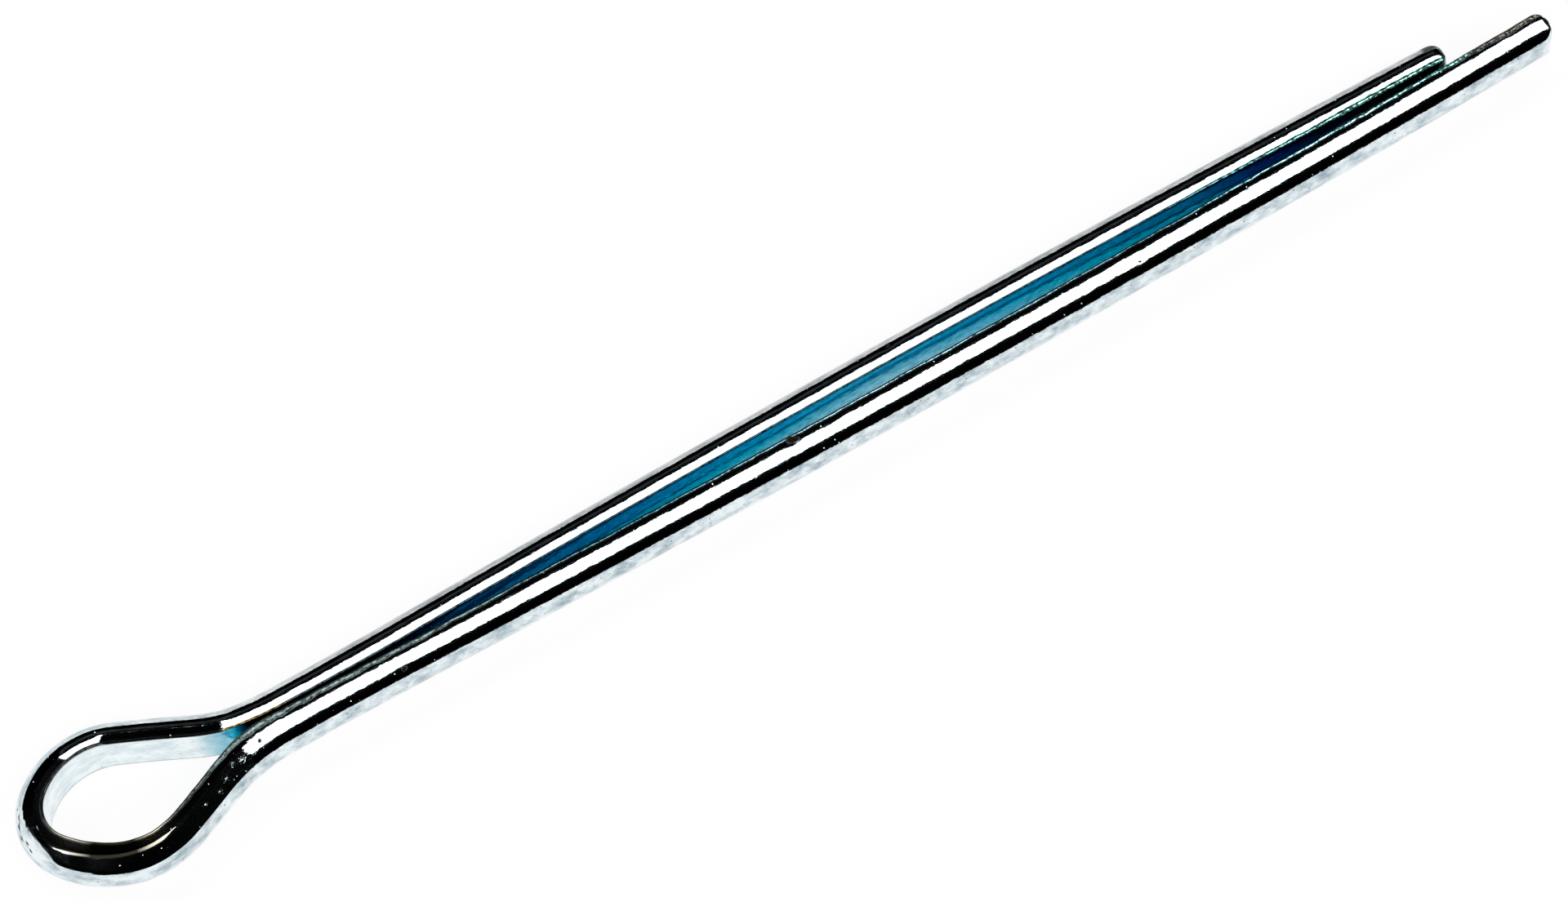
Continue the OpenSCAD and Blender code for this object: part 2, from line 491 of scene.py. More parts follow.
# %% [markdown]
# ## Sweeping the section
# Each point goes to its place beside the wire's line. Its place on the wire, as
# along, out and up, is kept with it, because marks and finishes are laid out in
# those lengths and follow the wire round its bends.

# %% Sweep
place = np.zeros((*out.shape, 3))
place[..., :2] = rings[:, None, :2] + out[..., None] * outward[:, None, :]
place[..., 2] = up
tipward = np.column_stack((np.cos(rings[:, 2]), np.sin(rings[:, 2])))
place[..., :2] -= back[..., None] * tipward[:, None, :]
along_all = np.repeat(along[:, None], out.shape[1], axis=1)
spots = np.stack((along_all, out / MM, up / MM), axis=-1)
flat_spots = spots.reshape(-1, 3)
print("points:", out.size)

# %% [markdown]
# ## Waves, dents and scars
# Bright plating shows every small unevenness, because a mirror turns a highlight
# by twice the slope of its surface. The wire's own waves are a few thousandths of
# a millimetre deep. The jaws left a rough scar where each of their flats begins
# on the leg's side, and handling left a few dents. All of them go into the mesh
# along the surface's outward direction. None of them reaches outward, so the pin
# never grows.

# %% Unevenness
# Length and depth, in mm
WAVES = ((5.0, 0.005), (1.8, 0.002), (0.9, 0.001))
# Along, out, up and width, in mm
SCARS = (
    (-14.3, 0.8, 1.67, 0.22), (-14.4, 1.1, 1.48, 0.2), (13.1, 0.3, 1.78, 0.2),
    (13.8, 0.24, 1.83, 0.18),
)
SCAR_DEPTH, SCAR_SUNK, SCAR_GRAIN = 0.014, 0.5, 0.28
# Along, out, up, width and depth, in mm
DENTS = (
    (-24.3, 1.27, 1.35, 0.22, 0.02), (-49.9, 0.39, 1.81, 0.26, 0.03),
    (-60.2, 1.85, -0.13, 0.3, 0.015), (-63.6, 0.14, 1.84, 0.22, 0.02),
    (-72.5, 1.07, 1.51, 0.2, 0.02), (-80.6, 0.75, 1.69, 0.22, 0.025),
    (57.3, 0.95, 1.58, 0.24, 0.02), (33.8, 0.45, 1.79, 0.2, 0.018),
)
# How far out the section's middle is taken to lie, as a share of the wire's radius
MIDDLE_OUT = 0.35


def wave_height(spot):
    """The wire's own waves at a place on it, in mm."""
    spot = Vector(spot)
    return sum(depth * noise.noise(spot / size) for size, depth in WAVES)


def nearness(mark):
    """How near every point is to a mark, from 0 to 1 at its middle."""
    squares = ((spots - np.array(mark[:3])) ** 2).sum(axis=-1)
    return np.exp(-squares / (2 * mark[3] ** 2))


wave = np.array([wave_height(spot) for spot in flat_spots]).reshape(out.shape)
rough = np.array([noise.noise(Vector(spot) / SCAR_GRAIN) for spot in flat_spots])
sink = wave - np.abs(wave).max()
for mark in SCARS:
    sink += SCAR_DEPTH * nearness(mark) * (rough.reshape(out.shape) - SCAR_SUNK)
for mark in DENTS:
    sink -= mark[4] * nearness(mark)

normal_out = out - MIDDLE_OUT * WIRE_R
normal_length = np.hypot(normal_out, up)
place[..., :2] += (MM * sink * normal_out / normal_length)[..., None] * outward[:, None, :]
place[..., 2] += MM * sink * up / normal_length
print("unevenness in mm:", sink.min().round(3), "to", sink.max().round(4))

# %% [markdown]
# ## What each part of the surface is like
# The finish changes from place to place: the flat faces between the legs, the
# rounded edges, the flats that the jaws pressed, and stains where dirt sat on the
# plating. Masks could be painted by hand, but here the maker of the mesh already
# knows which point is which. So each kind is a number from 0 to 1 on every
# point, and the material reads it.

# %% Kinds of surface
# Along, out, up and width, in mm, and how dark the stain is
STAINS = (
    (-24.3, 1.27, 1.35, 0.14, 0.9), (-49.9, 0.3, 1.82, 0.17, 1), (-50.3, 0.45, 1.8, 0.12, 0.9),
    (-63.6, 0.14, 1.84, 0.13, 0.8), (-72.5, 1.07, 1.51, 0.1, 0.7),
    (-14.9, 0.86, 1.64, 0.13, 0.8), (57.3, 0.95, 1.58, 0.12, 0.7), (1.1, 1.6, 0.93, 0.08, 0.6),
    (0.8, 1.5, 1.08, 0.12, 0.6), (0.5, 1.6, 0.93, 0.14, 0.6), (0.2, 1.7, 0.73, 0.14, 0.6),
    (-0.1, 1.58, 0.96, 0.1, 0.6), (-0.4, 1.66, 0.82, 0.1, 0.5),
)
# Along, out, up and width, in mm
SCARRED = (
    (-14.3, 0.85, 1.62, 0.3), (-14, 1.1, 1.45, 0.35), (-13.3, 1.1, 1.38, 0.25),
    (-12.6, 0.95, 1.52, 0.2), (-11.7, 1.2, 1.36, 0.25), (-10.9, 1.35, 1.2, 0.18),
    (-9.8, 1.15, 1.38, 0.16), (13.3, 0.3, 1.78, 0.3), (12.2, 0.45, 1.74, 0.18),
)
# Counted from the flat face, the points that lie on the eye's top flat
TOP_AFTER, TOP_BEFORE = 4, 21
# Place along the wire in mm, and how far the top flat is burnished there
BURNISHED = ((-9, 0), (-7, 1), (-1, 1), (0, 0))
SHEAR_START, SHEAR_REACH = 1.5, 0.12


def mirrored(half):
    """One value for each point of a half, laid out round the whole section."""
    return np.concatenate((half, [0.0], half[:0:-1]))


after_flat = np.arange(half_count) - FLAT_POINTS
on_flat = mirrored((after_flat <= 0).astype(float))
edge_span = (-1, 1, EDGE_POINTS + 1, EDGE_POINTS + 2)
on_edge = mirrored(np.interp(after_flat, edge_span, (0, 1, 1, 0)))
on_top = mirrored(((after_flat > TOP_AFTER) & (after_flat < TOP_BEFORE)).astype(float))
burnished = np.interp(along, *zip(*BURNISHED))[:, None]
leg_ends = np.where(sides > 0, short_rings[-1, 3], long_rings[-1, 3])
from_end = ((leg_ends - rings[:, 3]) / MM)[:, None]
scar, stain = np.zeros(out.shape), np.zeros(out.shape)
for mark in SCARRED:
    scar = np.maximum(scar, nearness(mark))
for mark in STAINS:
    stain = np.maximum(stain, mark[4] * nearness(mark))
kinds = {
    "flat_face": on_flat * np.ones_like(out),
    "rounded_edge": on_edge * np.ones_like(out),
    "pressed_top": on_top * near_share * burnished,
    "pressed": np.maximum(near_share, far_share) * np.ones_like(out),
    "sheared_end": np.maximum(cropped, np.clip(SHEAR_START - from_end / SHEAR_REACH, 0, 1)),
    "scar": scar,
    "stain": stain,
}
print("share of points per kind:", {name: round(kind.mean(), 3) for name, kind in kinds.items()})

# %% [markdown]
# ## From rings to quads
# Neighbouring rings are joined by quads. Each tip is closed by smaller copies of
# its last ring, and not by one big face, so that the end face has points enough
# to be smoothed with the rest.

# %% Quads and end faces
CAP_SHARES = (0.8, 0.55, 0.3, 0.1)
ring_count, round_count = out.shape
grid = np.arange(ring_count * round_count).reshape(ring_count, round_count)
beside = np.roll(grid, -1, axis=1)
quads = np.stack((grid[:-1], beside[:-1], beside[1:], grid[1:]), axis=-1)
faces = quads.reshape(-1, 4).tolist()
points = [place.reshape(-1, 3)]
values = {"wire_place": [flat_spots]}
values.update({name: [kind.reshape(-1)] for name, kind in kinds.items()})
point_count = grid.size
for r in (0, ring_count - 1):
    ring = grid[r]
    middle, spot = place[r].mean(axis=0), spots[r].mean(axis=0)
    for share in CAP_SHARES:
        inner = np.arange(point_count, point_count + round_count)
        point_count += round_count
        points.append(middle + share * (place[r] - middle))
        values["wire_place"].append(spot + share * (spots[r] - spot))
        for name in kinds:
            values[name].append(np.full(round_count, float(name == "sheared_end")))
        faces += np.stack((ring, np.roll(ring, -1), np.roll(inner, -1), inner), axis=-1).tolist()
        ring = inner
    faces.append(ring.tolist())
print("faces:", len(faces))

# %% [markdown]
# ## A mesh that remembers its places
# Each point carries its place on the wire and its kinds as named attributes, and
# an Attribute node can read those by name. Texture coordinates wouldn't do as
# well, because they count from the object's middle and not along the wire.

# %% Mesh and attributes
pin_mesh = bpy.data.meshes.new("bent_wire")
pin_mesh.from_pydata(np.vstack(points).tolist(), [], faces)
spot_attribute = pin_mesh.attributes.new("wire_place", "FLOAT_VECTOR", "POINT")
spot_attribute.data.foreach_set("vector", np.vstack(values["wire_place"]).ravel())
for name in kinds:
    attribute = pin_mesh.attributes.new(name, "FLOAT", "POINT")
    attribute.data.foreach_set("value", np.concatenate(values[name]))
print("attributes:", len(values))

# %% [markdown]
# ## The wire as one object
# The mesh is finished in bmesh. Its faces are turned outward, and shaded smooth
# like drawn wire. The last millimetre and a half of each leg is smoothed, because
# squeezing the rings left creases there. The pressed ridge is the other way
# round: where it is crisp, its edges are marked sharp, since smooth shading would
# blur it.

# %% Bent wire
SMOOTHED, SMOOTH_PASSES, SMOOTH_SHARE = 1.5, 3, 0.5
RIDGE_SHARP, PRESSED_ENOUGH = 0.008 * MM, 0.3

work = bmesh.new()
work.from_mesh(pin_mesh)
bmesh.ops.recalc_face_normals(work, faces=work.faces)
if work.calc_volume(signed=True) < 0:
    bmesh.ops.reverse_faces(work, faces=work.faces)
place_layer = work.verts.layers.float_vector["wire_place"]
smooth_below, smooth_above = along[-1] + SMOOTHED, along[0] - SMOOTHED
tip_points = [v for v in work.verts if not smooth_below < v[place_layer].x < smooth_above]
all_ways = {"use_axis_x": True, "use_axis_y": True, "use_axis_z": True}
for _ in range(SMOOTH_PASSES):
    bmesh.ops.smooth_vert(work, verts=tip_points, factor=SMOOTH_SHARE, **all_ways)
for face in work.faces:
    face.smooth = True

ridge_column = half_count - len(ROUND_ANGLES) + RIDGE_POINT
crisp = (ridge_ease[:, 0] < RIDGE_SHARP) & (near_share[:, 0] + far_share[:, 0] > PRESSED_ENOUGH)
work.verts.ensure_lookup_table()
sharp = 0
for r in np.flatnonzero(crisp[:-1] & crisp[1:]):
    for column in (ridge_column, round_count - ridge_column):
        pair = [work.verts[grid[r, column]], work.verts[grid[r + 1, column]]]
        work.edges.get(pair).smooth = False
        sharp += 1
work.to_mesh(pin_mesh)
work.free()
pin = bpy.data.objects.new("bent_wire", pin_mesh)
bpy.context.scene.collection.objects.link(pin)
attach(pin, "root")
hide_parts("cotter_pin")
print("triangles:", sum(len(face) - 2 for face in faces))
print("smoothed points:", len(tip_points), "sharp edges:", sharp)

# %% [markdown]
# ## Short ways to build a material
# A material is a tree of nodes, and each node takes several lines to make and
# join. A small class keeps them short, so that the cells below say what the
# finish is, and not how sockets are joined.

# %% Paint
class Paint:
    """A material and the short ways to add nodes to it."""

    def __init__(self, name):
        self.material = bpy.data.materials.new(name)
        self.material.use_nodes = True
        self.tree = self.material.node_tree
        self.tree.nodes.clear()

    def feed(self, socket, source):
        """Join a socket to another node's, or set its own value."""
        if isinstance(source, bpy.types.NodeSocket):
            self.tree.links.new(source, socket)
        else:
            socket.default_value = source

    def node(self, kind, inputs, **settings):
        """A new node, with settings by name and inputs by name or number."""
        made = self.tree.nodes.new("ShaderNode" + kind)
        for name, value in settings.items():
            setattr(made, name, value)
        for name, source in inputs.items():
            self.feed(made.inputs[name], source)
        return made

    def sum(self, kind, *numbers, clamp=False):
        """The result of a Math node."""
        inputs = dict(enumerate(numbers))
        return self.node("Math", inputs, operation=kind, use_clamp=clamp).outputs[0]

    def reach(self, value, start, stop, low=0.0, high=1.0):
        """A number from low to high as the value goes from start to stop."""
        inputs = {"Value": value, "From Min": start, "From Max": stop}
        inputs.update({"To Min": low, "To Max": high})
        return self.node("MapRange", inputs).outputs[0]

    def mix(self, share, first, second, blend="MIX"):
        """A colour between two others, or their product."""
        inputs = {0: share, 6: first, 7: second}
        return self.node("Mix", inputs, data_type="RGBA", blend_type=blend).outputs[2]

    def kind(self, name):
        """A number that the mesh holds on its points."""
        return self.node("Attribute", {}, attribute_name=name).outputs["Fac"]

    def ramp(self, value, stops):
        """A colour that changes with a value, from stops of (value, colour)."""
        made = self.node("ValToRGB", {"Fac": value})
        elements = made.color_ramp.elements
        elements.remove(elements[-1])
        elements[0].position, elements[0].color = 0.0, (*stops[0][1], 1.0)
        for spot, tone in stops:
            elements.new(spot).color = (*tone, 1.0)
        return made.outputs[0]

    def grain(self, where, size, detail=2.0, rough=0.5):
        """Cloudy noise with features about as wide as the size."""
        inputs = {"Vector": where, "Scale": 1 / size, "Detail": detail, "Roughness": rough}
        return self.node("TexNoise", inputs).outputs["Fac"]

    def cells(self, vector, size):
        """Distance in mm to the nearest of scattered points, and that point's own number."""
        scale = (1 / size,) * 3
        scaled = self.node("VectorMath", {0: vector, 1: scale}, operation="MULTIPLY").outputs[0]
        scattered = self.node("TexVoronoi", {"Vector": scaled, "Scale": 1.0})
        own_number = self.node("SeparateColor", {0: scattered.outputs["Color"]}).outputs[0]
        return self.sum("MULTIPLY", scattered.outputs["Distance"], size), own_number

    def finish(self, shader):
        """The material, once its last node is joined to its surface."""
        end = self.node("OutputMaterial", {})
        self.tree.links.new(shader.outputs[0], end.inputs[0])
        return self.material


print("ways to paint:", [name for name in vars(Paint) if name[0] != "_"])

# %% [markdown]
# ## Zinc with a clear blue passivation
# Zinc plating is mottled: its crystals and the passivation over them reflect a
# little more here and a little less there. A plain metal with one colour would
# look like chrome. So the metal's colour runs between a pale and a deeper grey
# blue, in fine mottling laid over slow blotches, with a few grey dots on the
# sides. Lengths are in millimetres along the wire, out and up, and the mottling
# is drawn out along the wire as its rolling was.

# %% Mottled zinc
PALE_ZINC, DEEP_ZINC = (0.82, 0.89, 0.92, 1.0), (0.32, 0.42, 0.47, 1.0)
FLAT_PALE, FLAT_DEEP = (0.86, 0.93, 0.95, 1.0), (0.58, 0.70, 0.75, 1.0)
ROLLED_OUT = (0.7, 1.0, 1.0)
FINE_SIZE, BLOTCH_SIZE = 0.24, 0.9
FINE_SHARE, MOTTLE_SPAN = 0.55, (0.55, 0.92)
DOT_GREY, DOT_CELL, DOT_RIM = (0.10, 0.12, 0.12, 1.0), 0.42, (0.04, 0.07)
# The cells that have a dot, by their own number, and the heights that dots stop at
DOT_CHOSEN, DOTS_BELOW, DOTS_SHARE = (0.70, 0.74), (1.0, 1.25), 0.8

zinc = Paint("blue_zinc")
wire = zinc.node("Attribute", {}, attribute_name="wire_place").outputs["Vector"]
along_wire, out_wire, up_wire = zinc.node("SeparateXYZ", {0: wire}).outputs
drawn = zinc.node("Mapping", {"Vector": wire, "Scale": ROLLED_OUT}).outputs[0]
fine = zinc.grain(drawn, FINE_SIZE, detail=4.0, rough=0.65)
blotch = zinc.grain(drawn, BLOTCH_SIZE, detail=3.0)
mottled = zinc.reach(zinc.sum("MULTIPLY_ADD", fine, FINE_SHARE, blotch), *MOTTLE_SPAN)
zinc_colour = zinc.mix(mottled, DEEP_ZINC, PALE_ZINC)
flat_colour = zinc.mix(mottled, FLAT_DEEP, FLAT_PALE)
zinc_colour = zinc.mix(zinc.kind("flat_face"), zinc_colour, flat_colour)
dot_distance, dot_number = zinc.cells(wire, DOT_CELL)
dotted = zinc.reach(dot_distance, *DOT_RIM, 1.0, 0.0)
dotted = zinc.sum("MULTIPLY", dotted, zinc.reach(dot_number, *DOT_CHOSEN))
dotted = zinc.sum("MULTIPLY", dotted, zinc.reach(up_wire, *DOTS_BELOW, DOTS_SHARE, 0.0))
zinc_colour = zinc.mix(dotted, zinc_colour, DOT_GREY)
print("mottling in mm:", FINE_SIZE, "and", BLOTCH_SIZE)

# %% [markdown]
# ## Blue film and painted shade between the legs
# The flat faces carry a blue passivation film. Their colour also holds painted
# shade and painted light for the narrow gap between the legs. It changes along
# the leg: pale and then cyan at the crotch of the eye, almost black in the neck,
# teal and blue along the middle, navy and then almost black towards the tips,
# darkest as painted shade where the gap is narrowest. It changes with height too,
# so there are three Color Ramps along the wire: a deep, shaded one for the lower
# part, which passes slowly into a middle one, and a bright one for a strip along
# the top, a painted highlight. The height where that strip starts changes along
# the leg as well.

# %% Blues
# Place from the eye's end in mm, and colour of the blue film with painted shade
CROTCH_SHADE_COLOURS = (
    (12, (0.12, 0.38, 0.52)), (13.2, (0.22, 0.43, 0.51)), (13.45, (0.52, 0.7, 0.74)),
    (13.9, (0.28, 0.58, 0.62)), (14.15, (0.07, 0.42, 0.47)), (14.45, (0.05, 0.19, 0.25)),
    (14.75, (0.01, 0.04, 0.06)), (15.3, (0, 0.01, 0.02)),
)
DEEP_GAP_SHADE_COLOURS = CROTCH_SHADE_COLOURS + (
    (25, (0, 0.1, 0.14)), (39, (0, 0.1, 0.18)), (48, (0.12, 0.28, 0.36)),
    (56, (0.32, 0.44, 0.52)), (64, (0.16, 0.3, 0.4)), (76, (0.01, 0.08, 0.12)),
    (81, (0, 0.02, 0.06)), (84.5, (0, 0.005, 0.03)), (90, (0, 0.004, 0.006)),
)
MIDDLE_GAP_SHADE_COLOURS = CROTCH_SHADE_COLOURS + (
    (25, (0, 0.1, 0.14)), (39, (0, 0.12, 0.24)), (56, (0.06, 0.22, 0.33)),
    (66, (0.03, 0.2, 0.32)), (76, (0.01, 0.18, 0.28)), (81, (0, 0.05, 0.2)),
    (84.5, (0, 0.006, 0.08)), (90, (0, 0.004, 0.006)),
)
TOP_GAP_LIGHT_COLOURS = CROTCH_SHADE_COLOURS + (
    (25, (0, 0.36, 0.44)), (39, (0.03, 0.66, 0.88)), (56, (0.14, 0.62, 0.78)),
    (66, (0.08, 0.64, 0.82)), (76, (0.02, 0.7, 0.9)), (81, (0, 0.1, 0.4)),
    (84.5, (0, 0.01, 0.12)), (90, (0, 0.004, 0.006)),
)
# Place from the eye's end and height where the painted bright strip starts, in mm
LIT_STRIP_FROM = ((25.0, 0.0), (39.0, 0.35), (56.0, 1.35), (66.0, 1.10), (76.0, 0.65), (84.0, 0.20))
print("gap colours:", len(DEEP_GAP_SHADE_COLOURS), len(MIDDLE_GAP_SHADE_COLOURS), len(TOP_GAP_LIGHT_COLOURS))

# %% [markdown]
# ## Laying the blues and their painted shade on the flats
# The three blues are mixed by height, so the painted shade is deepest low in the
# gap and the painted highlight lies on its top strip, and streaks along the wire
# keep them from looking printed. A ramp's colours stop at one, so the strip's
# heights go into their ramp halved and are doubled after it. Seen at a glancing
# angle, the flat shows the film's own blue, which is the metal's Specular Tint.

# %% Blue flats
RAMP_LENGTH, RAMP_HEIGHT = 100.0, 2.0
DEEP_BELOW, LIT_STRIP_BLEND = -0.4, (-0.10, 0.15)
STREAK_SIZE, STREAK_SPAN, STREAK_SHARE = 0.35, (0.3, 0.7), (0.6, 1.4)
GAP_STARTS, GLANCE_STOPS = (11.5, 13.5), (84.0, 88.0)
NO_TINT, FILM_TINT = (1.0, 1.0, 1.0, 1.0), (0.2, 0.8, 1.0, 1.0)

from_eye = zinc.sum("ABSOLUTE", along_wire)
from_eye_share = zinc.sum("DIVIDE", from_eye, RAMP_LENGTH)
deep_shaded_blue, middle_shaded_blue, lit_top_blue = (
    zinc.ramp(from_eye_share, [(spot / RAMP_LENGTH, tone) for spot, tone in tones])
    for tones in (DEEP_GAP_SHADE_COLOURS, MIDDLE_GAP_SHADE_COLOURS, TOP_GAP_LIGHT_COLOURS)
)
lit_strip_stops = [(spot / RAMP_LENGTH, (height / RAMP_HEIGHT,) * 3) for spot, height in LIT_STRIP_FROM]
top_from = zinc.sum("MULTIPLY", zinc.ramp(from_eye_share, lit_strip_stops), RAMP_HEIGHT)
# Painted shade low in the gap, and a painted highlight on the strip along the top
blue = zinc.mix(zinc.reach(up_wire, DEEP_BELOW, top_from), deep_shaded_blue, middle_shaded_blue)
over_top_from = zinc.sum("SUBTRACT", up_wire, top_from)
blue = zinc.mix(zinc.reach(over_top_from, *LIT_STRIP_BLEND), blue, lit_top_blue)
streaks = zinc.grain(drawn, STREAK_SIZE, detail=5.0, rough=0.65)
streaks = zinc.reach(streaks, *STREAK_SPAN, *STREAK_SHARE)
gap_blue_and_shade = zinc.mix(1.0, blue, streaks, "MULTIPLY")
in_gap = zinc.sum("MULTIPLY", zinc.kind("flat_face"), zinc.reach(from_eye, *GAP_STARTS))
# The gap's blue film with its painted shade goes onto the flat faces
colour = zinc.mix(in_gap, zinc_colour, gap_blue_and_shade)
glancing = zinc.sum("MULTIPLY", in_gap, zinc.reach(from_eye, *GLANCE_STOPS, 1.0, 0.0))
edge_tint = zinc.mix(glancing, NO_TINT, FILM_TINT)
print("blue from", GAP_STARTS[0], "mm from the eye's end")

# %% [markdown]
# ## Edges worn in specks, with painted shade
# The rounded edges carry the same film more thinly, in brown and green as well as
# blue, and it is worn off in specks. Their colour is also darkened, in places
# almost to black, as painted shade that dims the highlights they catch. It
# changes along the whole wire, so its ramp runs from tip to tip, and fine noise
# makes the specks.

# %% Edges
# Place along the wire in mm, and colour of the edge film with painted shade
EDGE_FILM_AND_SHADE_COLOURS = (
    (-95.5, (0.13, 0.125, 0.11)), (-94, (0.22, 0.52, 0.48)), (-86, (0.36, 0.72, 0.76)),
    (-76, (0.05, 0.1, 0.12)), (-57, (0.15, 0.24, 0.27)), (-39, (0.035, 0.09, 0.105)),
    (-24, (0.13, 0.17, 0.165)), (-14, (0.12, 0.16, 0.155)), (-10, (0.05, 0.06, 0.06)),
    (-3, (0.05, 0.05, 0.045)), (12.5, (0.03, 0.03, 0.03)), (13.2, (0.18, 0.12, 0.04)),
    (16, (0.16, 0.12, 0.05)), (18, (0.03, 0.05, 0.06)), (74, (0.02, 0.06, 0.08)),
    (80, (0.08, 0.2, 0.2)), (88, (0.17, 0.36, 0.32)),
)
EDGE_RAMP = 200.0
SPECK_SIZE = 0.16
# Near the tips a speck needs a higher value of the noise to start
TIPS_SPAN, WORN_FROM, WORN_TO = (74.0, 84.0), (0.38, 0.46), 0.60
# Brightness where the film is whole, darkened as painted shade, and in the middle of a speck
SHADED_WHOLE_FILM, BARE = 0.15, 2.2

tip_to_tip = zinc.sum("MULTIPLY_ADD", along_wire, 1 / EDGE_RAMP, 0.5)


def whole_ramp(rows):
    """A colour that changes from tip to tip, from rows of (place in mm, colour)."""
    return zinc.ramp(tip_to_tip, [(0.5 + spot / EDGE_RAMP, tone) for spot, tone in rows])


speck = zinc.grain(drawn, SPECK_SIZE, detail=3.0, rough=0.7)
worn_from = zinc.reach(from_eye, *TIPS_SPAN, *WORN_FROM)
wear = zinc.reach(speck, worn_from, WORN_TO, SHADED_WHOLE_FILM, BARE)
# The edge film's colour, darkened as painted shade that dims the edges' highlights
edge_film_and_shade = zinc.mix(1.0, whole_ramp(EDGE_FILM_AND_SHADE_COLOURS), wear, "MULTIPLY")
edge = zinc.kind("rounded_edge")
colour = zinc.mix(edge, colour, edge_film_and_shade)
print("edge colours:", len(EDGE_FILM_AND_SHADE_COLOURS))

# %% [markdown]
# ## Painted shade on the far side and underneath
# The outer side of the far leg is painted a warmer, darker grey: painted shade on
# the floor that it reflects. Low down on the round face, and at the outermost rim
# of that leg, it is darker still, in broken patches that draw a thin dark line
# along the wire, a painted shadow where the shaded floor under the pin would be
# reflected. Each patch is a product of soft steps along, out and up, and cloudy
# noise breaks it up.

# %% Far side and underside
FAR_SHADE_GREY, OUTLINE = (0.66, 0.62, 0.60, 1.0), (0.20, 0.22, 0.23, 1.0)
FAR_ALONG, FAR_OUT, FAR_RIM = (4.0, 24.0), (1.0, 1.25), (1.64, 1.70)
UNDER_UP, UNDER_OUT = (-0.62, -0.42), (0.8, 1.2)
BROKEN_SIZE, BROKEN_SPAN, OUTLINE_SHARE = 0.7, (0.44, 0.56), 0.75

# Painted shade: the far leg's outer side is greyed
far_side_shade = zinc.sum("MULTIPLY", zinc.reach(along_wire, *FAR_ALONG), zinc.reach(out_wire, *FAR_OUT))
colour = zinc.mix(far_side_shade, colour, zinc.mix(1.0, colour, FAR_SHADE_GREY, "MULTIPLY"))
# Painted shadow low on the round face and along the far rim, broken by noise
under = zinc.reach(up_wire, *UNDER_UP, 1.0, 0.0)
under = zinc.sum("MULTIPLY", under, zinc.reach(out_wire, *UNDER_OUT))
far_rim_shade = zinc.sum("MULTIPLY", far_side_shade, zinc.reach(out_wire, *FAR_RIM))
broken = zinc.reach(zinc.grain(drawn, BROKEN_SIZE, detail=3.0, rough=0.6), *BROKEN_SPAN)
shaded_outline = zinc.sum("MULTIPLY", zinc.sum("MAXIMUM", under, far_rim_shade), broken)
shaded_outline = zinc.sum("MULTIPLY", shaded_outline, zinc.reach(edge, 0.0, 1.0, OUTLINE_SHARE, 0.0))
colour = zinc.mix(shaded_outline, colour, OUTLINE)
print("broken patches in mm:", BROKEN_SIZE)

# %% [markdown]
# ## Burnished flats, stains and sheared ends
# Steel jaws burnished the eye's top flat. They rubbed its plating to a pale brown
# where the soft stretch of the ridge begins and ends, and it is almost black
# between. Dirt and rust have stained the dents, in grains that a threshold on
# fine noise breaks up. The sheared ends are almost black too.

# %% Jaws, stains and shears
# Place along the wire in mm, and colour
JAW_COLOURS = (
    (-8, (0.12, 0.11, 0.09)), (-7, (0.42, 0.4, 0.33)), (-6.3, (0.3, 0.28, 0.21)),
    (-5.5, (0.014, 0.013, 0.009)), (-2.6, (0.011, 0.01, 0.007)), (-2.2, (0.34, 0.32, 0.26)),
    (-1, (0.46, 0.44, 0.38)), (-0.4, (0.1, 0.09, 0.07)),
)
RUST, SHEARED = (0.018, 0.011, 0.006, 1.0), (0.012, 0.012, 0.012, 1.0)
NOISE_MIDDLE, STAIN_SPAN = 0.5, (0.30, 0.50)

jaw = zinc.kind("pressed_top")
colour = zinc.mix(jaw, colour, whole_ramp(JAW_COLOURS))
stained = zinc.sum("ADD", zinc.kind("stain"), zinc.sum("SUBTRACT", speck, NOISE_MIDDLE))
stained = zinc.reach(stained, *STAIN_SPAN)
colour = zinc.mix(stained, colour, RUST)
sheared_end = zinc.kind("sheared_end")
colour = zinc.mix(sheared_end, colour, SHEARED)
print("jaw colours:", len(JAW_COLOURS))

# %% [markdown]
# ## How dull each part is
# Bright zinc is smooth, but not a mirror. The edges are duller than the faces,
# most at the long tip and along the near side of the neck, where the wire was
# handled and gripped. Jaw marks, sheared ends and stains add to it too.

# %% Roughness
BRIGHT, JAW_DULL, SHEARED_DULL, STAIN_DULL = 0.07, 0.06, 0.3, 0.3
# Place along the wire in mm, and what its edges add to the roughness
EDGE_DULLNESS = (
    (-95.5, 0.34), (-94.0, 0.15), (-34.0, 0.13), (-24.0, 0.32), (-11.0, 0.32), (-8.0, 0.13),
    (94.0, 0.15),
)

edge_dull = whole_ramp([(spot, (dull,) * 3) for spot, dull in EDGE_DULLNESS])
roughness = zinc.sum("MULTIPLY_ADD", jaw, JAW_DULL, BRIGHT)
roughness = zinc.sum("MULTIPLY_ADD", edge, edge_dull, roughness)
roughness = zinc.sum("MULTIPLY_ADD", sheared_end, SHEARED_DULL, roughness)
roughness = zinc.sum("MULTIPLY_ADD", stained, STAIN_DULL, roughness)
print("roughness from", BRIGHT)

# %% [markdown]
# ## Grain and pits
# The finest unevenness is too small for the mesh. It is a height in the
# material: cloudy grain that makes the edges of a highlight jagged, finer grit
# that is coarse on the scars, and sparse pits that sparkle.
# The pits come from a Voronoi pattern, each cell of which has one point, and only
# some cells are let through, fewest on top of the wire.

